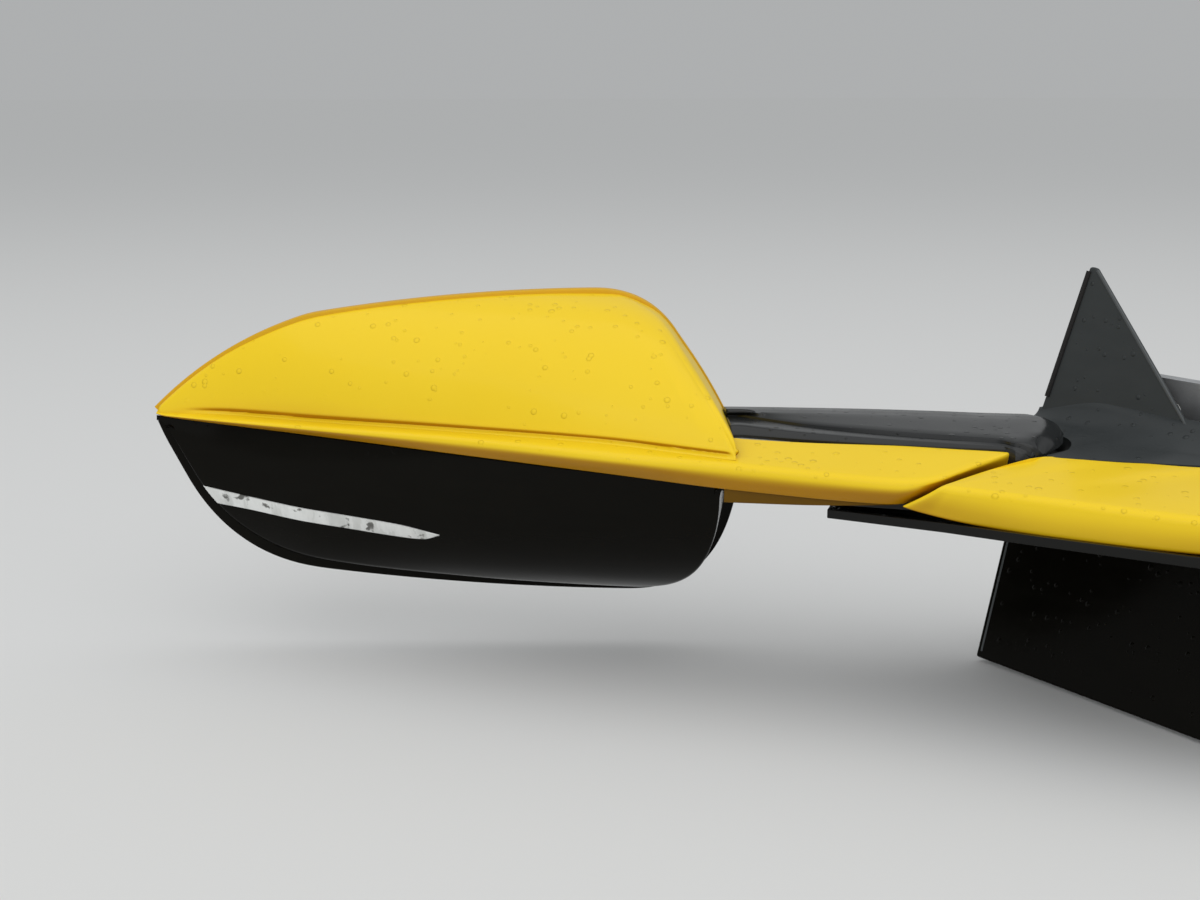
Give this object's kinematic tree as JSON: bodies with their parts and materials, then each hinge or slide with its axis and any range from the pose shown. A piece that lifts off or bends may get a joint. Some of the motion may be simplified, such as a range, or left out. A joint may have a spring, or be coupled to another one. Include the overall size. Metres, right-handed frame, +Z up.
{
  "type": "folding car door mirror",
  "caption": "Right-hand folding door mirror with a winged head, side lamp, slim arm, foot and black corner panel.",
  "frame": {"origin": "middle of the mounting flange's inner face, where it lies on the door", "axes": "+X into the car, -Y to the front of the car, +Z up"},
  "size_m": [0.3532, 0.4217, 0.165],
  "materials": {
    "yellow_paint": "gloss lacquer",
    "gloss_black": "high gloss",
    "matte_black": "fine moulded grain",
    "gimbal_plastic": "satin",
    "lamp_clear": "clear moulded lens",
    "lamp_silver": "metallised reflector",
    "mirror": "polished",
    "cast_metal": "as cast",
    "steel": "zinc plated",
    "rubber": "matt"
  },
  "bodies": {
    "foot": {"foot_cover": "yellow_paint", "foot_fairing": "gloss_black", "foot_plate": "gloss_black", "sail_upper": "gloss_black", "sail_lower": "gloss_black", "sail_gasket": "rubber", "mount_bracket": "cast_metal", "mount_studs": "steel", "pivot_post": "steel", "cable_grommet": "rubber"},
    "arm": {"cap": "yellow_paint", "blade": "yellow_paint", "lower_shell": "gloss_black", "arm_rear_cover": "gloss_black", "arm_floor": "matte_black", "arm_core": "cast_metal", "bezel": "matte_black", "lamp_lens": "lamp_clear", "lamp_bowl": "lamp_silver", "drive_case": "matte_black", "head_frame": "matte_black"},
    "gimbal": {"gimbal_ring": "gimbal_plastic"},
    "glass": {"glass_holder": "matte_black", "mirror_glass": "mirror"}
  },
  "joints": [
    {"name": "fold", "type": "hinge", "parent": "foot", "child": "arm", "pos_m": [-0.08, 0.045, 0.014], "axis": [0, 0, -1], "range_deg": [0, 50]},
    {"name": "glass_tilt", "type": "hinge", "parent": "arm", "child": "gimbal", "pos_m": [-0.20963, 0.16853, 0.001], "axis": [0.7986, -0.6018, 0], "range_deg": [-5, 5]},
    {"name": "glass_pan", "type": "hinge", "parent": "gimbal", "child": "glass", "pos_m": [-0.20963, 0.16853, 0.001], "axis": [0, 0, 1], "range_deg": [-4, 4]}
  ]
}
